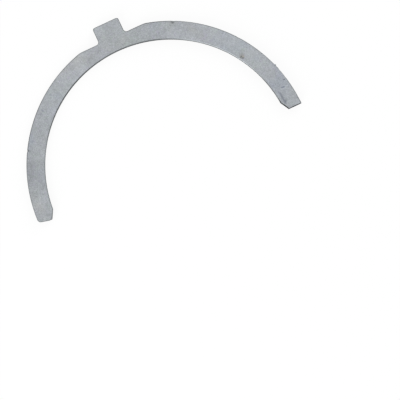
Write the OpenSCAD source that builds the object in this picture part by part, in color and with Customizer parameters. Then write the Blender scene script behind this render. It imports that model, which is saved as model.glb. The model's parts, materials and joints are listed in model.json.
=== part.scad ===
// Half thrust washer for a crankshaft: one flat half ring with a tab that keeps it from turning.
// The origin is on the shaft axis, at the running face. +Z is the shaft axis and points to the back face,
// and +Y points to the tab. The washer lies flat on its running face.
//
// A half ring and a pad for the tab make the blank. The rest of the outline is cut by one tool, which walks
// round it with the washer on its left. The tool's lips flare over both faces, so that each straight or
// round cut also leaves the bevel that breaks the edge.

/* [Ring] */
// Inner diameter, which clears the shaft
inner_d = 108.2; // [60:0.1:180]
// Radial width of the ring
ring_w = 7.9; // [5:0.1:16]
// Thickness from the running face to the back face
thickness = 2.5; // [1.5:0.05:5]

/* [Tab] */
// Width of the tab
tab_w = 12; // [6:0.1:20]
// Reach of the tab's tip past the ring's outer edge
tab_reach = 5.3; // [2:0.1:12]
// Radius of the tab's outer corners
tab_corner_r = 0.95; // [0.5:0.05:2.5]
// Radius in the corners between the tab and the flats beside it
tab_root_r = 1.4; // [0.5:0.05:2.5]
// Depth of the flats beside the tab, from the ring's outer edge
flat_depth = 1.9; // [0.8:0.1:3]

/* [Ends] */
// Distance of each end from the plane through the shaft axis
end_set_back = 0.3; // [0:0.05:3]
// Width of the lead-in, along each end from the inner edge
lead_in_w = 2; // [0.5:0.05:3]
// Length of the lead-in, up the inner edge
lead_in_l = 3.9; // [1:0.05:8]
// Width of the slant clipped off the left end, from the outer edge
left_clip_w = 4.5; // [0.2:0.05:6]
// Length of the slant, up the outer edge
left_clip_l = 1.15; // [0.2:0.05:4]

/* [Edges] */
// Bevel along the ring's inner and outer edges, on both faces
ring_bevel = 0.3; // [0.1:0.05:0.6]
// Bevel along the edges of the tab, the flats and the ends, on both faces
cut_bevel = 0.2; // [0.05:0.05:0.4]

/* [Hidden] */
$fn = 180;

inner_r = inner_d / 2;
outer_r = inner_r + ring_w;

// Overrun of the tool's lips past the faces, and of the blank and the cuts past the outline
lip_over = 0.08;
overrun = 1;

// Tab: its tip, its root on the flats, and where the flats run out of the ring
tip_y = outer_r + tab_reach;
flat_y = outer_r - flat_depth;
corner_x = tab_w / 2 - tab_corner_r;
corner_y = tip_y - tab_corner_r;
root_x = tab_w / 2 + tab_root_r;
root_y = flat_y + tab_root_r;
flat_end_x = max(sqrt(outer_r ^ 2 - flat_y ^ 2), root_x) + overrun;
tab_cut_depth = tip_y - flat_y + 2 * overrun;

// Ends: the blank runs past both by this angle
past_end_angle = 3;
end_cut_depth = end_set_back + outer_r * sin(past_end_angle) + overrun;

// Point of a circle about the shaft axis at a height y, on the right
function on_circle(radius, y) = [sqrt(radius ^ 2 - y ^ 2), y];

// Section of the ring, in radius and height, with all four edges bevelled
module ring_section() {
    polygon([
        [inner_r, ring_bevel],
        [inner_r + ring_bevel, 0],
        [outer_r - ring_bevel, 0],
        [outer_r, ring_bevel],
        [outer_r, thickness - ring_bevel],
        [outer_r - ring_bevel, thickness],
        [inner_r + ring_bevel, thickness],
        [inner_r, thickness - ring_bevel]
    ]);
}

// Section of the tool: its body runs from the wall that it leaves to its back, and its lips the other way
module tool_section(wall_x, back_x) {
    lip_x = wall_x + sign(wall_x - back_x) * (cut_bevel + lip_over);
    polygon([
        [wall_x, cut_bevel],
        [wall_x, thickness - cut_bevel],
        [lip_x, thickness + lip_over],
        [back_x, thickness + lip_over],
        [back_x, -lip_over],
        [lip_x, -lip_over]
    ]);
}

// Straight cut between two points of the outline, which takes the right-hand side away and may run past both
module straight_cut(start, end, depth, past = 0) {
    run = end - start;
    length = norm(run) + 2 * past;
    translate(start)
        rotate([0, 0, atan2(run.y, run.x) - 90])
            translate([0, length - past, 0])
                rotate([90, 0, 0])
                    linear_extrude(height = length)
                        tool_section(0, depth);
}

// Cut round a corner that stands out: a quarter turn that takes the outside away
module outer_corner_cut(centre, radius, depth) {
    translate(centre)
        rotate_extrude(angle = 90)
            tool_section(radius, radius + depth);
}

// Cut into a corner that goes in: a quarter turn that takes the inside away
module inner_corner_cut(centre, radius) {
    translate(centre)
        rotate_extrude(angle = 90, start = 180)
            tool_section(radius, 0);
}

// Half ring that runs past both ends, with a plain pad where the tab will be
module blank() {
    pad_x = root_x + overrun / 2;
    pad_y = (inner_r + flat_y) / 2;
    rotate_extrude(angle = 180 + 2 * past_end_angle, start = -past_end_angle)
        ring_section();
    translate([-pad_x, pad_y, 0])
        cube([2 * pad_x, tip_y + overrun - pad_y, thickness]);
}

// Cuts on the tab's right: flat, root, side and tip corner
module tab_side_cuts() {
    straight_cut([flat_end_x, flat_y], [root_x, flat_y], tab_cut_depth);
    inner_corner_cut([root_x, root_y], tab_root_r);
    straight_cut([tab_w / 2, root_y], [tab_w / 2, corner_y], tab_cut_depth);
    outer_corner_cut([corner_x, corner_y], tab_corner_r, tab_cut_depth);
}

// Cut across the tab's tip, between its corners
module tip_cut() {
    straight_cut([corner_x, tip_y], [-corner_x, tip_y], tab_cut_depth);
}

// Cuts at the right end: the lead-in from the inner edge, and the end itself
module end_cuts() {
    lead_in_top = on_circle(inner_r, end_set_back + lead_in_l);
    lead_in_foot = on_circle(inner_r, end_set_back) + [lead_in_w, 0];
    straight_cut(lead_in_top, lead_in_foot, end_cut_depth, lead_in_l);
    straight_cut([inner_r, end_set_back], [outer_r, end_set_back], end_cut_depth, overrun);
}

// Slant clipped off the end's outer half, as it would be at the right end
module clip_cut() {
    clip_foot = on_circle(outer_r, end_set_back) - [left_clip_w, 0];
    clip_top = on_circle(outer_r, end_set_back + left_clip_l);
    straight_cut(clip_foot, clip_top, end_cut_depth, left_clip_l);
}

// The washer: the blank with the tab's outline and both ends cut
module thrust_washer() {
    color("#a6aaae")
        difference() {
            blank();
            tip_cut();
            for (side = [0, 1])
                mirror([side, 0, 0]) {
                    tab_side_cuts();
                    end_cuts();
                }
            mirror([1, 0, 0])
                clip_cut();
        }
}

thrust_washer();
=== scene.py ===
"""Half thrust washer with its finish: a blanked steel half ring with a tab, lying on its running face."""

import json
import math

import bpy
import numpy as np
from bpy.props import FloatProperty, FloatVectorProperty, PointerProperty
from mathutils import Matrix, Vector


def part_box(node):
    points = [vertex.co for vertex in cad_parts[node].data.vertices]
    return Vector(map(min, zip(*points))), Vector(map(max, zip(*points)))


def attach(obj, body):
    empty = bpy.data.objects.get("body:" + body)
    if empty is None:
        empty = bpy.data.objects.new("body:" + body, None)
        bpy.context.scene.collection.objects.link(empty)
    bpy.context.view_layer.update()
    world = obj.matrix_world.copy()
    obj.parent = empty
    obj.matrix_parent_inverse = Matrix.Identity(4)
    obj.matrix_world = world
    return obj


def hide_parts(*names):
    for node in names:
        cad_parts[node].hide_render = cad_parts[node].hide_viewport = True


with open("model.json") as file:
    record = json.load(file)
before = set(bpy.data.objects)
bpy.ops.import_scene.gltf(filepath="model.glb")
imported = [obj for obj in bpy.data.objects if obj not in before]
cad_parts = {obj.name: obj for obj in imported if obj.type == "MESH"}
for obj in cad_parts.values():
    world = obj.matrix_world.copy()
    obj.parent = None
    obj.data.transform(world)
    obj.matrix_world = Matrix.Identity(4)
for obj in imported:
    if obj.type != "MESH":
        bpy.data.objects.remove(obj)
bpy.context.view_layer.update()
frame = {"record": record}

bl_info = {
    "name": "Half Thrust Washer",
    "version": (1, 0, 0),
    "blender": (4, 5, 0),
    "location": "3D View > Sidebar > Washer",
    "description": "Makes a half thrust washer with a locating tab, its finish and a bright stage",
    "category": "Add Mesh",
}

MM = 0.001
NODE = "thrust_washer"
BODY = "root"

LOW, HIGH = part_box(NODE)
MOUNTS = {mount["name"]: mount for mount in frame["record"]["mounts"]}
SHAFT_RADIUS = MOUNTS["shaft_opening"]["dims"]["r_mm"] * MM

# Mesh: longest step along the outline, step of its fine trace, and steps of a corner, a face and a bevel
PITCH = 0.22 * MM
TRACE_STEP = 0.02 * MM
CORNER_STEPS = 7
FACE_COLUMNS = 14
BEVEL_ROWS = 6

# Cuts across the washer: inner points per cut, and the least gap between two cuts as a share of the sweep
INNER_POINTS_PER_CUT = 3
LEAST_GAP = 1e-4

# Bevels: 1 is a plain chamfer and 2 a quarter round, so this is a chamfer with eased shoulders
BEVEL_POWER = 1.35

# End faces: the way they face, and how far up each side the lean into their mitred corners reaches
END_NORMAL = np.array([0, -1])
MITRE_REACH = 1.2 * MM

# Waves round the outline that keep bevels and the torn band from being even: waves per lap, share and phase
BEVEL_WAVES = ((9, 0.5, 0.0), (23, 0.3, 1.7), (61, 0.2, 4.1))
BEVEL_CHANGE = 0.14
TORN_WAVES = ((13, 0.4, 0.6), (37, 0.35, 2.9), (89, 0.25, 5.2))

# Torn band of the sheared wall: share of the thickness that it takes up, and the most that waves change it
TORN_SHARE = 0.46
TORN_CHANGE = 0.06

# Rows of the wall: height above the boundary of the torn band, as a share of the thickness
WALL_STEPS = np.array([0.16, 0.02, -0.02, -0.16])

# Dings in the edge, in mm: x and y on the outline, depth (below 0 for a burr, which stands out), half width
DINGS = (
    (-53.3, 31.2, 0.22, 0.45),
    (58.75, 19.95, -0.55, 0.36),
    (59.2, 18.55, -0.2, 0.4),
    (60.6, 13.6, 0.16, 0.3),
    (45.4, 29.4, -0.18, 0.4),
    (46.85, 27.05, -0.18, 0.4),
    (27.2, 55.7, 0.14, 0.6),
    (49.4, 37.6, 0.1, 0.5),
    (-36.6, 39.9, 0.1, 0.4),
    (33.6, 42.4, -0.08, 0.3),
)

# Marks on the back face, in mm: x, y, half length, half width, turn in degrees, strength and colour
BROWN = (0.16, 0.13, 0.08)
# Dark grey of specks, and of painted shade along the flats, the right end and the lead-in
SOOT_AND_SHADE = (0.08, 0.085, 0.09)
SLATE = (0.16, 0.18, 0.24)
SMEAR = (0.165, 0.18, 0.215)
TAN = (0.36, 0.33, 0.25)
BRIGHT = (0.55, 0.57, 0.58)
MARKS = (
    (47.3, 29.4, 1.6, 1.2, 20, 0.3, BROWN),
    (47.85, 29.05, 0.55, 0.45, 0, 0.5, TAN),
    (46.95, 29.3, 0.75, 0.4, 26, 0.6, SOOT_AND_SHADE),
    (47.45, 28.5, 0.6, 0.42, -20, 0.65, SOOT_AND_SHADE),
    (57.35, 9.93, 0.75, 0.42, -5, 0.62, SLATE),
    (58.1, 9.86, 0.75, 0.42, -5, 0.62, SLATE),
    (55.25, 8.3, 1.5, 0.5, -62, 0.3, SMEAR),
    (55.5, 6.9, 1.6, 0.6, -88, 0.5, SMEAR),
    (55.6, 5.5, 1.5, 0.55, -84, 0.45, SMEAR),
    (55.75, 3.9, 1.6, 0.7, -86, 0.6, SMEAR),
    (56.3, 3.95, 0.95, 0.55, 40, 0.5, SMEAR),
    (26.5, 55.5, 1.1, 0.6, -26, 0.5, SOOT_AND_SHADE),
    (26.5, 55.05, 0.9, 0.45, 22, 0.4, SOOT_AND_SHADE),
    (58.5, 19.75, 0.45, 0.35, 0, 0.4, SOOT_AND_SHADE),
    (59.5, 12.65, 0.5, 0.42, 0, 0.65, SOOT_AND_SHADE),
    (59.95, 13.4, 0.45, 0.35, -75, 0.5, BRIGHT),
    (-40.2, 44.3, 0.5, 0.8, 30, 0.4, SLATE),
    (-41.4, 43.2, 0.8, 0.7, 0, 0.22, SLATE),
    (-34.1, 48.9, 0.7, 0.6, 0, 0.22, SLATE),
    (-49.6, 34.1, 1.0, 0.8, 0, 0.22, SLATE),
    (-52.8, 31.2, 0.55, 0.45, 60, 0.6, SOOT_AND_SHADE),
    # Painted shade: dark lines along the edges of the flats beside the tab
    (11.2, 59.95, 4.6, 0.24, 0, 0.3, SOOT_AND_SHADE),
    (-11.2, 59.95, 4.6, 0.24, 0, 0.35, SOOT_AND_SHADE),
    # Painted shade: dark lines along the right end and along its lead-in
    (59.0, 0.4, 3.4, 0.3, 0, 0.97, SOOT_AND_SHADE),
    (55.15, 2.3, 2.4, 0.3, -61, 0.85, SOOT_AND_SHADE),
)

# Paler and darker places, in mm: x, y, half length, half width, turn in degrees and change of brightness
FACE_TONES = (
    (35, 47, 22, 9, -38, 0.035),
    (51, 27, 16, 8, -62, 0.03),
    (57, 8, 9, 7, -80, -0.027),
    (56.4, 7, 4.8, 1.6, -84, -0.05),
    (59.8, 1.8, 2.8, 1.9, -20, 0.06),
    (19, 55, 8, 7, -19, -0.03),
    (-26, 52.5, 14, 8, 26, 0.058),
    (-33.5, 47.5, 7, 7, 35, 0.025),
    (-44.5, 37.5, 10, 8, 50, -0.05),
    (-54.5, 20, 9, 8, 70, -0.12),
    (-57, 9.5, 8, 8, 82, 0.03),
    (-56.6, 4.2, 5.5, 2, 84, -0.055),
    (-57.5, 21, 22, 3.5, 70, -0.07),
    (8, 54.7, 9, 1.6, -8, -0.065),
    (24, 56.6, 9, 2.2, -23, -0.03),
    (-12, 59.3, 8, 2.7, 12, 0.085),
    (-3.8, 64, 2.6, 3.8, 0, 0.09),
    (38, 41, 13, 2, -46, -0.05),
)
# Painted highlights and painted shade of the bevels and wall, paler or darker by the way each part faces
EDGE_LIGHT_AND_SHADE = (
    (41, 34.5, 29, 6, -50, 1.15),
    (52.5, 13, 11, 5, -76, 0.3),
    (24, 48.5, 10, 5, -26, 0.36),
    (-1, 54, 17, 4, 0, 0.12),
    (48, 39, 22, 6, -51, -0.15),
    (59, 0.4, 5.5, 2.2, 0, -0.95),
    (55, 2.4, 4, 2, -61, -0.9),
    (-58.5, 1, 6, 2.5, 0, -0.35),
    (-49.5, 18.5, 25, 6, 72, 0.75),
    (-42, 34, 14, 5, 51, 0.15),
    (-23, 49, 10, 5, 26, -0.12),
    (6, 64, 38, 9, -4, -0.55),
    (17, 59, 12, 5, -16, -0.2),
    (-47, 42, 24, 6, 48, -0.35),
)

# Cooler places of the back face, below 0, and warmer ones, in the same form
FACE_CASTS = (
    (55.5, 16, 13, 8, -74, -0.1),
    (35, 46, 15, 8, -37, -0.11),
    (7, 58, 20, 10, -7, 0.09),
)

# Distance from 0 at which a cast starts to show
CAST_START = 0.02

# Soft ovals: half widths from the middle at which they start to show and are full, and half height in mm
OVAL_START = 1.15
OVAL_FULL = 0.35
OVAL_HEIGHT = 1e3

# Finish of the bevels: depth below either face, in mm, at which it starts to show and is full
BEVEL_START = 0.38
BEVEL_FULL = 0.1

# Painted shade of the inner wall: radius, in mm, at which it starts to show and is full
BORE_START = 58
BORE_FULL = 56

# Least brightness of the edge, as a share of its colour
DARKEST = 0.08


def length(name, description, default):
    """A length that the sidebar shows in the scene's units."""
    return FloatProperty(name=name, description=description, default=default, unit="LENGTH", precision=5)


def colour(name, description, default):
    """A colour with a swatch in the sidebar."""
    return FloatVectorProperty(
        name=name, description=description, default=default, subtype="COLOR", min=0, max=1
    )


def angle(name, description, degrees):
    """An angle given in degrees."""
    return FloatProperty(name=name, description=description, default=math.radians(degrees), subtype="ANGLE")


def level(name, description, default):
    """A plain number that isn't below 0."""
    return FloatProperty(name=name, description=description, default=default, min=0)


def place(name, description, default):
    """A place as three lengths."""
    return FloatVectorProperty(
        name=name, description=description, default=default, subtype="TRANSLATION", unit="LENGTH"
    )


class WasherSizes(bpy.types.PropertyGroup):
    """Sizes of the washer."""

    outer_radius: length("Outer Radius", "Radius of the ring's outer edge", HIGH.x)
    inner_radius: length("Inner Radius", "Radius of the inner edge, which clears the shaft", SHAFT_RADIUS)
    thickness: length("Thickness", "Distance from the running face to the back face", HIGH.z - LOW.z)
    tab_width: length("Tab Width", "Width of the locating tab", 12 * MM)
    tab_tip: length("Tab Tip", "Distance of the tab's tip from the shaft axis", HIGH.y)
    tab_corner: length("Tab Corner", "Radius of the tab's outer corners", 0.95 * MM)
    tab_root: length("Tab Root", "Radius between the tab and the flats beside it", 1.4 * MM)
    flat_depth: length("Flat Depth", "Depth of the flats beside the tab, from the outer edge", 1.9 * MM)
    flat_ease: length("Flat Ease", "Radius where the flats run out into the outer edge", 10 * MM)
    end_set_back: length("End Set-Back", "Distance of each end from the plane through the shaft axis", LOW.y)
    lead_in_width: length("Lead-In Width", "Width of the lead-in, from the inner edge along each end", 2 * MM)
    lead_in_length: length("Lead-In Length", "Length of the lead-in, up the inner edge", 3.9 * MM)
    clip_width: length("Clip Width", "Width of the slant off the left end, from the outer edge", 4.5 * MM)
    clip_length: length("Clip Length", "Length of the slant, up the outer edge", 1.15 * MM)
    clip_ease: length("Clip Ease", "Radius that rounds off the corner above the slant", 1.5 * MM)
    lead_in_ease: length("Lead-In Ease", "Radius where the lead-ins run out into the inner edge", 0.45 * MM)
    ring_bevel: length("Ring Bevel", "Bevel along the inner and outer edges", 0.3 * MM)
    cut_bevel: length("Cut Bevel", "Bevel along the tab, the flats and the ends", 0.2 * MM)
    torn_depth: length("Torn Depth", "How far the torn band lies behind the burnished band", 0.035 * MM)


class WasherFinish(bpy.types.PropertyGroup):
    """Colours and grain of the washer's surfaces."""

    face_colour: colour("Back Face", "Satin steel of the back face", (0.372, 0.392, 0.412))
    cool_colour: colour("Cool Cast", "Bluish cast of the back face in patches", (0.352, 0.387, 0.437))
    warm_colour: colour("Warm Cast", "Straw cast of the back face in patches", (0.392, 0.392, 0.377))
    lilac_colour: colour("Lilac Cast", "Lilac flecks of the back face", (0.382, 0.384, 0.438))
    green_colour: colour("Green Cast", "Greenish flecks of the back face", (0.362, 0.4, 0.396))
    bevel_colour: colour("Bevel", "Broken edges between the faces and the wall", (0.225, 0.24, 0.25))
    wall_colour: colour("Sheared Wall", "Burnished upper band of the wall", (0.15, 0.16, 0.165))
    torn_colour: colour("Torn Band", "Torn lower band of the wall", (0.09, 0.095, 0.1))
    lining_colour: colour("Lining", "Dull running face", (0.248, 0.263, 0.273))
    lining_pale_colour: colour("Pale Lining", "Paler flecks of the running face", (0.36, 0.375, 0.38))
    lining_warm_colour: colour("Brown Cast", "Brownish patches of the running face", (0.275, 0.27, 0.245))
    lining_cool_colour: colour("Slate Cast", "Bluish patches of the running face", (0.225, 0.255, 0.3))
    grain_size: length("Grain Size", "Size of the back face's grain", 0.22 * MM)
    grain_strength: level("Grain Strength", "Contrast of the back face's grain", 1.35)


class StageSettings(bpy.types.PropertyGroup):
    """Floor, light and camera. The picture's right and up are directions on the floor."""

    floor_colour: colour("Floor", "Colour of the floor", (0.95, 0.95, 0.95))
    floor_white: level("Floor White", "Share of plain white in the floor as it is seen", 0.9)
    sky_level: level("Sky Level", "Light from all around", 0.74)
    left_level: level("Left Panel", "Brightness of the panel at the picture's lower left", 6)
    left_place: place("Left Place", "Right, up and height of the left panel", (-0.34, -0.68, 0.3))
    right_level: level("Right Panel", "Brightness of the panel at the picture's upper right", 4)
    right_place: place("Right Place", "Right, up and height of the right panel", (0.44, 0.62, 0.3))
    panel_size: length("Panel Size", "Side of each light panel", 0.45)
    picture_turn: angle("Picture Turn", "Turn of the tab from the picture's up, towards the left", 25.01)
    tilt: angle("Tilt", "Lean of the camera from straight above, towards the picture's bottom", 2)
    distance: length("Distance", "Distance of the camera from the back face", 685.8 * MM)
    lens: level("Lens", "Focal length of the camera in millimetres", 144)
    aim_right: length("Aim Right", "Picture's middle, to the right of the shaft axis", 12.46 * MM)
    aim_down: length("Aim Down", "Picture's middle, below the shaft axis", 15.2 * MM)


class Straight:
    """A straight run of the outline, with the steel on its left."""

    def __init__(self, start, end, bevel):
        self.start = np.asarray(start, float)
        span = np.asarray(end, float) - self.start
        self.way = span / np.hypot(*span)
        self.bevel = bevel

    def moved_in(self, distance):
        """The parallel run at a distance on the left."""
        start = self.start + distance * np.array([-self.way[1], self.way[0]])
        return Straight(start, start + self.way, self.bevel)

    def foot(self, point):
        """The run's nearest point."""
        return self.start + self.way * np.dot(point - self.start, self.way)


class Round:
    """A run round the shaft axis, with the steel on its left: turn is 1 on the outer edge, else -1."""

    def __init__(self, radius, turn, bevel):
        self.radius = radius
        self.turn = turn
        self.bevel = bevel

    def moved_in(self, distance):
        """The run about the same axis at a distance on the left."""
        return Round(self.radius - self.turn * distance, self.turn, self.bevel)

    def foot(self, point):
        """The run's nearest point."""
        return point * self.radius / np.hypot(*point)


def meeting(before, after):
    """Point where one run of the outline passes into the next."""
    if isinstance(before, Straight) and isinstance(after, Straight):
        ways = np.column_stack([before.way, -after.way])
        return before.start + before.way * np.linalg.solve(ways, after.start - before.start)[0]
    line, circle, sign = (before, after, 1) if isinstance(before, Straight) else (after, before, -1)
    middle = line.foot(np.zeros(2))
    half_chord = math.sqrt(circle.radius ** 2 - middle @ middle)
    return middle + line.way * half_chord * sign * circle.turn


def trace_line(start, end, step):
    """Points and outward normals along a straight: start plus a share of the way to the end."""
    span = end - start
    size = np.hypot(*span)
    share = np.linspace(0, 1, max(2, math.ceil(size / step) + 1))[:, None]
    outward = np.array([span[1], -span[0]]) / size
    return start + share * span, np.broadcast_to(outward, (len(share), 2))


def trace_arc(centre, start, end, turn, step, least=2):
    """Points and outward normals along an arc: centre plus radius times cos and sin of an angle.

    The angle grows where turn is 1 and shrinks where it is -1."""
    radius = np.hypot(*(start - centre))
    first, last = (math.atan2(point[1] - centre[1], point[0] - centre[0]) for point in (start, end))
    swing = turn * ((turn * (last - first)) % math.tau)
    turned = first + swing * np.linspace(0, 1, max(least, math.ceil(abs(swing) * radius / step)) + 1)
    ray = np.column_stack([np.cos(turned), np.sin(turned)])
    return centre + radius * ray, turn * ray


def on_circle(radius, y):
    """Point of a circle about the shaft axis at a height y, on the right."""
    return np.array([math.sqrt(radius ** 2 - y ** 2), y])


def washer_runs(sizes):
    """The outline's runs with the steel on their left, and the radius of the corner after each.

    It is below 0 where the corner goes in, and 0 where it is sharp, which is at both end faces."""
    end = sizes.end_set_back
    ease = sizes.lead_in_ease
    cut = sizes.cut_bevel
    half_tab = sizes.tab_width / 2
    tip = sizes.tab_tip
    flat_y = sizes.outer_radius - sizes.flat_depth
    to_left = np.array([-1, 1])
    lead_in_top = on_circle(sizes.inner_radius, end + sizes.lead_in_length)
    lead_in_foot = on_circle(sizes.inner_radius, end) + [sizes.lead_in_width, 0]
    clip_top = on_circle(sizes.outer_radius, end + sizes.clip_length)
    clip_foot = on_circle(sizes.outer_radius, end) - [sizes.clip_width, 0]
    outer_edge = Round(sizes.outer_radius, 1, sizes.ring_bevel)
    inner_edge = Round(sizes.inner_radius, -1, sizes.ring_bevel)
    flat = Straight((half_tab, flat_y), (-half_tab, flat_y), cut)
    end_face = Straight((0, end), (sizes.outer_radius, end), cut)
    return (
        (Straight(lead_in_top, lead_in_foot, cut), 0),
        (end_face, 0),
        (outer_edge, sizes.flat_ease),
        (flat, -sizes.tab_root),
        (Straight((half_tab, flat_y), (half_tab, tip), cut), sizes.tab_corner),
        (Straight((half_tab, tip), (-half_tab, tip), cut), sizes.tab_corner),
        (Straight((-half_tab, tip), (-half_tab, flat_y), cut), -sizes.tab_root),
        (flat, sizes.flat_ease),
        (outer_edge, sizes.clip_ease),
        (Straight(clip_top * to_left, clip_foot * to_left, cut), 0),
        (end_face, 0),
        (Straight(lead_in_foot * to_left, lead_in_top * to_left, cut), ease),
        (inner_edge, ease),
    )


# Places of the two end faces in the list of runs
RIGHT_END = 1
LEFT_END = 10


def washer_stretches(sizes, step, least):
    """Every run with the corner after it, traced in order, as columns of x, y, normal x, normal y and bevel.

    A corner's centre is where the two runs meet once both are moved in by its radius."""
    runs = washer_runs(sizes)
    centres = [
        meeting(run.moved_in(radius), following.moved_in(radius))
        for (run, radius), (following, _) in zip(runs, runs[1:] + runs[:1])
    ]
    stretches = []
    for index, (run, radius) in enumerate(runs):
        following = runs[(index + 1) % len(runs)][0]
        start = run.foot(centres[index - 1])
        end = run.foot(centres[index])
        if isinstance(run, Straight):
            points, normals = trace_line(start, end, step)
        else:
            points, normals = trace_arc(np.zeros(2), start, end, run.turn, step)
        rows = [np.column_stack([points, normals, np.full(len(points), run.bevel)])]
        if radius:
            turn = 1 if radius > 0 else -1
            after = following.foot(centres[index])
            points, normals = trace_arc(centres[index], end, after, turn, step, least)
            bevel = np.linspace(run.bevel, following.bevel, len(points))
            rows.append(np.column_stack([points, normals, bevel]))
        stretches.append(np.concatenate(rows))
    return stretches


def mitred(side, end_bevel):
    """A side that leans into the mitre at both of its ends, where it meets an end face at a sharp corner.

    The mitre is the sum of the two normals over 1 plus their product. The lean towards it, and towards the
    end face's bevel, fades along the side."""
    for corner in (0, -1):
        normal = side[corner, 2:4]
        mitre = (normal + END_NORMAL) / (1 + normal @ END_NORMAL)
        lean = np.append(mitre, end_bevel) - side[corner, 2:]
        gap = np.hypot(*(side[:, :2] - side[corner, :2]).T)
        side[:, 2:] += lean * np.clip(1 - gap / MITRE_REACH, 0, 1)[:, None]
    return side


def washer_sides(sizes, step, least=2):
    """Outer and inner side, from right end to left, as columns of x, y, normal x, normal y and bevel."""
    stretches = washer_stretches(sizes, step, least)
    outer = np.concatenate(stretches[RIGHT_END + 1:LEFT_END])
    inner = np.concatenate(stretches[LEFT_END + 1:] + stretches[:RIGHT_END])[::-1]
    return mitred(outer, sizes.cut_bevel), mitred(inner, sizes.cut_bevel)


def share_of_sweep(side):
    """Angle about the shaft axis, from 0 at a side's right end to 1 at its left end."""
    turned = np.arctan2(side[:, 1], side[:, 0])
    return (turned - turned[0]) / (turned[-1] - turned[0])


def cut_side(side, stations):
    """A traced side read off at the given shares of its sweep."""
    share = share_of_sweep(side)
    keep = np.concatenate([[True], np.diff(share) > 0])
    return np.column_stack([np.interp(stations, share[keep], column[keep]) for column in side.T])


def washer_stations(sizes):
    """Shares of the sweep at which both sides are cut: corners of either are met, without slivers."""
    outer, inner = washer_sides(sizes, PITCH, CORNER_STEPS)
    inner_shares = share_of_sweep(inner)[::INNER_POINTS_PER_CUT]
    shares = np.sort(np.concatenate([share_of_sweep(outer), inner_shares]))
    stations = shares[np.concatenate([[True], np.diff(shares) > LEAST_GAP])]
    stations[-1] = 1
    return stations


def crowded(count):
    """Shares from 0 to 1 that crowd towards both ends, as 1 - cos does."""
    return (1 - np.cos(np.linspace(0, math.pi, count + 1))) / 2


def washer_path(sizes):
    """The closed outline, in a side's columns, and its count of stations.

    It starts at the right end's inner corner."""
    stations = washer_stations(sizes)
    outer, inner = (cut_side(side, stations) for side in washer_sides(sizes, TRACE_STEP))
    across = crowded(FACE_COLUMNS)[:, None]
    right_end = inner[0] + (outer[0] - inner[0]) * across
    left_end = outer[-1] + (inner[-1] - outer[-1]) * across
    return np.concatenate([right_end[:-1], outer[:-1], left_end[:-1], inner[:0:-1]]), len(stations)


def lap_wave(share, waves):
    """A sum of sines round the closed outline, each with a whole number of waves, between about -1 and 1."""
    count, size, phase = np.array(waves).T
    return (size * np.sin(math.tau * count * share[:, None] + phase)).sum(axis=1)


def edge_profile(bevel, torn, boundary, thickness):
    """Edge section at each point of the outline: inset and height per row, from the back face down.

    A bevel is a quarter of a superellipse: the cos and sin of an angle are raised to 2 / BEVEL_POWER, and
    inset and drop are the bevel times 1 less each of them. The wall is flush above the boundary and lies
    back by the torn depth below it."""
    swing = np.linspace(math.pi / 2, 0, BEVEL_ROWS)
    inset = 1 - np.clip(np.cos(swing), 0, 1) ** (2 / BEVEL_POWER)
    drop = 1 - np.sin(swing) ** (2 / BEVEL_POWER)
    bevel = bevel[:, None]
    wall = np.broadcast_to((WALL_STEPS < 0) * torn, (len(bevel), len(WALL_STEPS)))
    step = thickness * WALL_STEPS
    insets = np.hstack([bevel * inset, wall, torn + (bevel - torn) * inset[::-1]])
    heights = np.hstack([thickness - bevel * drop, boundary[:, None] + step, bevel * drop[::-1]])
    return insets, heights


def ding_depth(points):
    """Depth of the dings along the outline: a bell curve of the distance from each, all added up."""
    x, y, depth, width = np.array(DINGS).T * MM
    gap = np.hypot(points[:, :1] - x, points[:, 1:] - y)
    return (depth * np.exp(-((gap / width) ** 2))).sum(axis=1)


def carried_edge(path, sizes):
    """The edge section carried round the outline: a grid of points, and each point's inset from the outline.

    A point lies at its height, moved inwards along the outline's normal by its inset. Dings add to the
    inset, most at the back face, as the square of the height."""
    points, normals, bevel = path[:, :2], path[:, 2:4], path[:, 4]
    steps = np.hypot(*np.diff(points, axis=0, append=points[:1]).T)
    lap = np.concatenate([[0], np.cumsum(steps)[:-1]]) / steps.sum()
    bevel = bevel * (1 + BEVEL_CHANGE * lap_wave(lap, BEVEL_WAVES))
    boundary = sizes.thickness * (TORN_SHARE + TORN_CHANGE * lap_wave(lap, TORN_WAVES))
    insets, heights = edge_profile(bevel, sizes.torn_depth, boundary, sizes.thickness)
    insets = insets + ding_depth(points)[:, None] * (heights / sizes.thickness) ** 2
    plan = points[:, None] - normals[:, None] * insets[..., None]
    return np.concatenate([plan, heights[..., None]], axis=2), insets


def face_border(stations):
    """Place on the closed outline of a face's border vertices: stations by columns, with 0 inside."""
    border = np.zeros((stations, FACE_COLUMNS + 1), int)
    outer_start = FACE_COLUMNS
    left_start = outer_start + stations - 1
    inner_start = left_start + FACE_COLUMNS
    border[0] = np.arange(FACE_COLUMNS + 1)
    border[:, -1] = outer_start + np.arange(stations)
    border[-1] = left_start + np.arange(FACE_COLUMNS + 1)[::-1]
    border[1:, 0] = inner_start + np.arange(stations - 1)[::-1]
    return border


def ruled_face(rim, border):
    """Inner points of a face, and how far each lies from the rim's nearer side.

    They lie on straight lines from the inner side of the rim to the outer one, at shares that crowd at both
    ends."""
    near = rim[border[1:-1, :1]]
    span = rim[border[1:-1, -1:]] - near
    share = crowded(FACE_COLUMNS)[1:-1]
    return near + span * share[:, None], np.linalg.norm(span, axis=-1) * np.minimum(share, 1 - share)


def grid_quads(grid):
    """The quads of a grid of vertex numbers, facing up where rows run leftwards and columns outwards."""
    return np.stack([grid[:-1, :-1], grid[:-1, 1:], grid[1:, 1:], grid[1:, :-1]], axis=-1).reshape(-1, 4)


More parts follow.
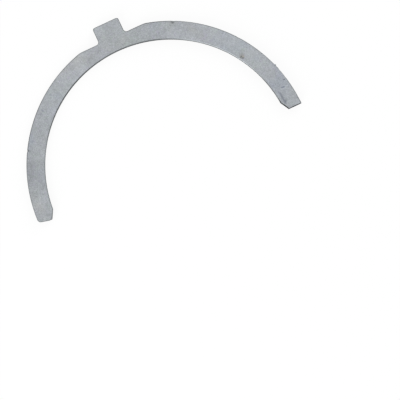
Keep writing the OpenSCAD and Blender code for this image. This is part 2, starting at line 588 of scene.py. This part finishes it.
def washer_mesh(sizes):
    """Vertices, quads with their material numbers, and the point values torn and inset.

    The edge is one closed strip. Each face is a grid, and its border is the strip's first or last row."""
    path, stations = washer_path(sizes)
    edge, insets = carried_edge(path, sizes)
    count, rows = insets.shape
    border = face_border(stations)
    edge_numbers = np.arange(count * rows).reshape(count, rows)
    vertices = [edge.reshape(-1, 3)]
    inset = [insets.ravel()]
    quads = [grid_quads(np.vstack([edge_numbers, edge_numbers[:1]]))]
    for row, order in ((0, 1), (rows - 1, -1)):
        inside, depth = ruled_face(edge[:, row], border)
        grid = edge_numbers[border, row]
        first = sum(map(len, vertices))
        grid[1:-1, 1:-1] = first + np.arange(depth.size).reshape(depth.shape)
        vertices.append(inside.reshape(-1, 3))
        inset.append(sizes.ring_bevel + depth.ravel())
        quads.append(grid_quads(grid)[:, ::order])
    torn = np.zeros(sum(map(len, vertices)))
    first_torn_row = BEVEL_ROWS + np.count_nonzero(WALL_STEPS > 0)
    torn[edge_numbers[:, first_torn_row:]] = 1
    materials = np.repeat(np.arange(len(quads)), [len(part) for part in quads])
    values = {"torn": torn, "inset": np.concatenate(inset)}
    return np.concatenate(vertices), np.concatenate(quads), materials, values


class Signal:
    """A node's output, used like a number: an expression on signals adds the Math nodes that it needs."""

    def __init__(self, tree, socket=None):
        self.tree = tree
        self.socket = socket

    def node(self, kind, sockets=None, output=0, **settings):
        """Adds a node of a kind to the same tree: its settings first, then each socket's value or link."""
        added = self.tree.nodes.new(kind)
        for name, value in settings.items():
            setattr(added, name, value)
        for name, value in (sockets or {}).items():
            if isinstance(value, Signal):
                self.tree.links.new(value.socket, added.inputs[name])
            else:
                added.inputs[name].default_value = value
        return Signal(self.tree, added.outputs[output])

    def maths(self, operation, first, second):
        """A Math node on two values."""
        return self.node("ShaderNodeMath", {0: first, 1: second}, operation=operation)

    def __add__(self, other):
        return self.maths("ADD", self, other)

    def __radd__(self, other):
        return self.maths("ADD", other, self)

    def __sub__(self, other):
        return self.maths("SUBTRACT", self, other)

    def __rsub__(self, other):
        return self.maths("SUBTRACT", other, self)

    def __mul__(self, other):
        return self.maths("MULTIPLY", self, other)

    def __rmul__(self, other):
        return self.maths("MULTIPLY", other, self)

    def at_least(self, other):
        """The larger of two values."""
        return self.maths("MAXIMUM", self, other)

    def rise(self, low, high):
        """0 below low, 1 above high and a smooth step between; with low above high it falls instead."""
        sockets = {"Value": self, "From Min": low, "From Max": high}
        return self.node("ShaderNodeMapRange", sockets, interpolation_type="SMOOTHSTEP")

    def scaled(self, factors):
        """A vector or colour times a value, or with each part times a factor of its own."""
        return self.node("ShaderNodeVectorMath", {0: self, 1: factors}, operation="MULTIPLY")

    def size(self):
        """Length of a vector."""
        return self.node("ShaderNodeVectorMath", {0: self}, output="Value", operation="LENGTH")

    def noise(self, size, *, shift, detail=2, roughness=0.5):
        """Noise about 0 on a vector in mm, with clumps of about this size. Each shift is another pattern."""
        sockets = {"Vector": self, "W": shift, "Scale": 1 / size, "Detail": detail, "Roughness": roughness}
        return self.node("ShaderNodeTexNoise", sockets, noise_dimensions="4D") - 0.5

    def tint(self, first, second):
        """A colour that goes from the first to the second as this value goes from 0 to 1."""
        colours = [end if isinstance(end, Signal) else (*end, 1) for end in (first, second)]
        sockets = {0: self, 6: colours[0], 7: colours[1]}
        return self.node("ShaderNodeMix", sockets, output=2, data_type="RGBA")

    def two_tints(self, base, above, below, full, strength=1):
        """A base colour that goes to one colour as this value rises from 0, and to another as it falls."""
        for end, sign in ((above, 1), (below, -1)):
            base = (strength * self.rise(sign * CAST_START, sign * full)).tint(base, end)
        return base

    def mark(self, x, y, half_length, half_width, turn):
        """1 in the middle of a soft oval on a vector in mm, 0 outside it."""
        sockets = {
            "Vector": self,
            "Location": (x, y, 0),
            "Rotation": (0, 0, math.radians(turn)),
            "Scale": (half_length, half_width, OVAL_HEIGHT),
        }
        from_middle = self.node("ShaderNodeMapping", sockets, vector_type="TEXTURE").size()
        return from_middle.rise(OVAL_START, OVAL_FULL)

    def tone(self, tones):
        """A sum of soft ovals on a vector in mm: each adds its own change."""
        return sum(change * self.mark(*oval) for *oval, change in tones)


def shaded(name, metallic, glance, lift, paint):
    """A metal whose colour, roughness and relief come from paint, a function of the place in mm.

    Glance is the share of gloss that is left at a grazing angle, and lift the height of the relief. In
    paint, sizes of clumps are in mm, and other numbers weigh how much each pattern shows."""
    material = bpy.data.materials.new(name)
    material.use_nodes = True
    tree = material.node_tree
    shader = tree.nodes["Principled BSDF"]
    shader.inputs["Metallic"].default_value = metallic
    shader.inputs["Specular Tint"].default_value = (glance, glance, glance, 1)
    where = Signal(tree).node("ShaderNodeTexCoord", output="Object").scaled((1 / MM,) * 3)
    base, roughness, relief = paint(where)
    bump = where.node("ShaderNodeBump", {"Height": relief, "Distance": lift})
    tree.links.new(base.socket, shader.inputs["Base Color"])
    tree.links.new(roughness.socket, shader.inputs["Roughness"])
    tree.links.new(bump.socket, shader.inputs["Normal"])
    return material


def point_value(where, name):
    """One of the values that the mesh carries at its points."""
    return where.node("ShaderNodeAttribute", output="Fac", attribute_name=name)


def back_face_material(finish):
    """Satin steel: fine even grain, cloudy patches of cool or straw cast, rubs and marks of handling."""

    def paint(where):
        grain = where.noise(finish.grain_size / MM, detail=1.5, shift=1)
        mottle = where.noise(1.3, shift=8)
        patches = where.noise(4.2, detail=3, roughness=0.55, shift=2)
        clouds = where.noise(24, detail=1.5, shift=3)
        places = where.tone(FACE_CASTS)
        hue = where.noise(1.3, detail=3, roughness=0.65, shift=9)
        hue = hue + 0.35 * where.noise(6, detail=1, shift=10) - 0.35 * places
        cast = where.noise(9, shift=4) + 0.6 * where.noise(38, detail=1, shift=5) + places
        drawn_out = where.scaled((0.25, 4, 1))
        rubs = drawn_out.noise(1.6, shift=6).rise(0.17, 0.27)
        pits = where.noise(0.75, detail=0.5, shift=7).rise(0.27, 0.36)
        inset = point_value(where, "inset") * (1 / MM)
        border = inset.rise(1.1, 0.25) * (0.75 + 1.2 * patches)

        base = hue.two_tints(finish.face_colour, finish.lilac_colour, finish.green_colour, full=0.22)
        base = cast.two_tints(base, finish.warm_colour, finish.cool_colour, full=0.3, strength=0.55)
        shade = 1 + where.tone(FACE_TONES) + finish.grain_strength * grain + 0.2 * mottle + 0.45 * patches
        base = base.scaled(shade + 0.1 * clouds - 0.03 * border - 0.12 * pits + 0.05 * rubs)
        for *oval, strength, stain in MARKS:
            base = (strength * where.mark(*oval) * (1 + 1.6 * grain)).tint(base, stain)
        roughness = 0.5 + 0.16 * grain + 0.12 * patches - 0.06 * rubs + 0.1 * pits
        return base, roughness, grain + 0.35 * patches - 0.8 * pits

    return shaded("satin back face", metallic=0.88, glance=1, lift=0.012 * MM, paint=paint)


def sheared_edge_material(finish):
    """Bevels and sheared wall: upright streaks from the die, a burnished band above and a torn one below."""

    def paint(where):
        upright = where.scaled((1, 1, 0.06))
        streaks = upright.noise(0.35, detail=3, roughness=0.6, shift=11)
        bands = upright.noise(5, shift=12)
        tears = where.scaled((1, 1, 0.4)).noise(0.3, detail=3, roughness=0.6, shift=13)
        grain = where.noise(0.42, detail=1.5, shift=1)
        torn = point_value(where, "torn")
        height = where.node("ShaderNodeSeparateXYZ", {0: where}, output="Z")
        depth = HIGH.z / MM - height
        bevel = depth.rise(BEVEL_START, BEVEL_FULL).at_least(height.rise(BEVEL_START, BEVEL_FULL))
        bore = where.scaled((1, 1, 0)).size().rise(BORE_START, BORE_FULL)

        wall = (torn + 0.5 * tears).rise(0.3, 0.7).tint(finish.wall_colour, finish.torn_colour)
        base = bevel.tint(wall, finish.bevel_colour)
        # Painted highlights and painted shade: the edge tones, most on the bevels, and the darker inner wall
        shade = 1 + (0.25 + 0.75 * bevel) * where.tone(EDGE_LIGHT_AND_SHADE) - 0.3 * bore
        shade = shade + (0.3 - 0.18 * bevel) * grain + torn * 0.5 * tears
        shade = shade + (1 - bevel) * (0.45 * streaks + 0.4 * bands)
        base = base.scaled(shade.at_least(DARKEST))
        roughness = 0.42 + 0.23 * bevel + 0.16 * torn + (1 - 0.6 * bevel) * (0.2 * streaks + 0.15 * grain)
        return base, roughness, (1 - 0.8 * bevel) * (0.5 * streaks + 0.3 * grain) + torn * tears

    return shaded("sheared edge", metallic=0.85, glance=0.3, lift=0.03 * MM, paint=paint)


def lining_material(finish):
    """Dull running face: a darker, mottled grey with a brown or slate cast in patches and paler flecks."""

    def paint(where):
        grain = where.noise(0.24, detail=1.5, shift=21)
        mottle = where.noise(1.3, shift=22)
        patches = where.noise(5, detail=3, roughness=0.55, shift=23)
        flecks = where.noise(0.6, detail=1.5, shift=24).rise(0.1, 0.26)
        cast = where.noise(3.2, detail=3, roughness=0.6, shift=25)
        cast = cast + 0.6 * where.noise(13, detail=1, shift=26)
        inset = point_value(where, "inset") * (1 / MM)

        casts = (finish.lining_warm_colour, finish.lining_cool_colour)
        base = cast.two_tints(finish.lining_colour, *casts, full=0.3)
        base = (flecks * (0.7 + patches)).tint(base, finish.lining_pale_colour)
        base = base.scaled(1 + 2.1 * grain + 0.5 * mottle + 0.9 * patches - 0.1 * inset.rise(1.2, 0.25))
        roughness = 0.56 + 0.2 * grain + 0.15 * mottle
        return base, roughness, grain + 0.6 * mottle

    return shaded("dull lining", metallic=0.8, glance=1, lift=0.018 * MM, paint=paint)


def new_object(name, vertices, quads):
    """A smooth-shaded mesh object at the origin."""
    mesh = bpy.data.meshes.new(name)
    mesh.from_pydata(vertices.tolist(), [], quads.tolist())
    mesh.shade_smooth()
    made = bpy.data.objects.new(name, mesh)
    bpy.context.scene.collection.objects.link(made)
    return made


class MakeHalfWasher(bpy.types.Operator):
    """Makes the half washer, gives each surface its finish and puts it in the place of the plain solid"""

    bl_idname = "washer.make_half_washer"
    bl_label = "Make Half Washer"

    def execute(self, context):
        vertices, quads, materials, values = washer_mesh(context.scene.washer_sizes)
        washer = new_object("half_washer", vertices, quads)
        for make in (sheared_edge_material, back_face_material, lining_material):
            washer.data.materials.append(make(context.scene.washer_finish))
        washer.data.polygons.foreach_set("material_index", materials.astype(np.int32))
        washer.data.polygons.foreach_set("use_smooth", materials == 0)
        for name, value in values.items():
            attribute = washer.data.attributes.new(name, "FLOAT", "POINT")
            attribute.data.foreach_set("value", value.astype(np.float32))
        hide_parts(NODE)
        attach(washer, BODY)
        return {"FINISHED"}


def picture_axes(stage):
    """Directions of the picture's right and up on the floor, and of the camera from the washer."""
    turn = Matrix.Rotation(-stage.picture_turn, 3, "Z")
    right = turn @ Vector((1, 0, 0))
    up = turn @ Vector((0, 1, 0))
    back = Vector((0, 0, math.cos(stage.tilt))) - up * math.sin(stage.tilt)
    return right, up, back


def seen_directly(tree):
    """1 for rays from the camera, from gloss and through glass, 0 for the rays that light things."""
    kinds = ("Is Camera Ray", "Is Glossy Ray", "Is Transmission Ray")
    camera, gloss, glass = (Signal(tree).node("ShaderNodeLightPath", output=kind) for kind in kinds)
    return camera.at_least(gloss).at_least(glass)


def lay_floor(stage):
    """A wide flat floor: one square just under the running face, seen mostly as plain white."""
    reach = 3
    gap = 0.02 * MM
    corners = np.array([(-1, -1), (1, -1), (1, 1), (-1, 1)]) * reach
    floor = new_object("floor", np.column_stack([corners, np.full(4, -gap)]), np.arange(4).reshape(1, 4))
    material = bpy.data.materials.new("pale floor")
    material.use_nodes = True
    tree = material.node_tree
    tree.nodes.remove(tree.nodes["Principled BSDF"])
    seen = seen_directly(tree)
    matt = seen.node("ShaderNodeBsdfDiffuse", {"Color": (*stage.floor_colour, 1)})
    white = seen.node("ShaderNodeEmission")
    surface = seen.node("ShaderNodeMixShader", {0: stage.floor_white * seen, 1: matt, 2: white})
    tree.links.new(surface.socket, tree.nodes["Material Output"].inputs["Surface"])
    floor.data.materials.append(material)


def light_sky(stage):
    """Even light from all around, seen as plain white."""
    world = bpy.data.worlds.new("even sky")
    world.use_nodes = True
    tree = world.node_tree
    sky = tree.nodes["Background"]
    sky.inputs["Color"].default_value = (1, 1, 1, 1)
    strength = stage.sky_level + (1 - stage.sky_level) * seen_directly(tree)
    tree.links.new(strength.socket, sky.inputs["Strength"])
    bpy.context.scene.world = world


def hang_panel(name, stage, brightness, offset):
    """A square light panel that faces the washer. Its power is its brightness times pi times its area."""
    right, up, _ = picture_axes(stage)
    washer = Vector((0, (LOW.y + HIGH.y) / 2, HIGH.z))
    centre = washer + right * offset[0] + up * offset[1] + Vector((0, 0, offset[2]))
    lamp = bpy.data.lights.new(name, "AREA")
    lamp.size = stage.panel_size
    lamp.energy = brightness * math.pi * stage.panel_size ** 2
    panel = bpy.data.objects.new(name, lamp)
    facing = (washer - centre).to_track_quat("-Z", "Y").to_matrix()
    panel.matrix_world = Matrix.Translation(centre) @ facing.to_4x4()
    bpy.context.scene.collection.objects.link(panel)


def place_camera(stage):
    """The camera above the washer, with the tab turned from the picture's upward direction."""
    right, up, back = picture_axes(stage)
    aim = right * stage.aim_right - up * stage.aim_down + Vector((0, 0, HIGH.z))
    lens = bpy.data.cameras.new("camera")
    lens.lens = stage.lens
    camera = bpy.data.objects.new("camera", lens)
    axes = Matrix((right, back.cross(right), back)).transposed()
    camera.matrix_world = Matrix.Translation(aim + back * stage.distance) @ axes.to_4x4()
    bpy.context.scene.collection.objects.link(camera)
    bpy.context.scene.camera = camera


class SetStage(bpy.types.Operator):
    """Lays the floor, hangs the lights and places the camera"""

    bl_idname = "washer.set_stage"
    bl_label = "Set Stage"

    def execute(self, context):
        stage = context.scene.washer_stage
        context.scene.view_settings.view_transform = "Standard"
        lay_floor(stage)
        light_sky(stage)
        hang_panel("left panel", stage, stage.left_level, stage.left_place)
        hang_panel("right panel", stage, stage.right_level, stage.right_place)
        place_camera(stage)
        return {"FINISHED"}


class WasherPanel(bpy.types.Panel):
    """Sizes, colours and steps of the washer"""

    bl_idname = "VIEW3D_PT_half_washer"
    bl_label = "Half Thrust Washer"
    bl_space_type = "VIEW_3D"
    bl_region_type = "UI"
    bl_category = "Washer"

    def draw(self, context):
        for operator in (MakeHalfWasher, SetStage):
            self.layout.operator(operator.bl_idname)
        for group in (context.scene.washer_sizes, context.scene.washer_finish, context.scene.washer_stage):
            box = self.layout.box()
            for name in group.__annotations__:
                box.prop(group, name)


CLASSES = (WasherSizes, WasherFinish, StageSettings, MakeHalfWasher, SetStage, WasherPanel)


def register():
    """Makes the settings, the operators and the panel known to Blender."""
    for kind in CLASSES:
        bpy.utils.register_class(kind)
    bpy.types.Scene.washer_sizes = PointerProperty(type=WasherSizes)
    bpy.types.Scene.washer_finish = PointerProperty(type=WasherFinish)
    bpy.types.Scene.washer_stage = PointerProperty(type=StageSettings)


def unregister():
    """Takes them back out."""
    del bpy.types.Scene.washer_stage
    del bpy.types.Scene.washer_finish
    del bpy.types.Scene.washer_sizes
    for kind in reversed(CLASSES):
        bpy.utils.unregister_class(kind)


def main():
    """Makes everything in order."""
    register()
    bpy.ops.washer.make_half_washer()
    bpy.ops.washer.set_stage()


if __name__ == "__main__":
    main()
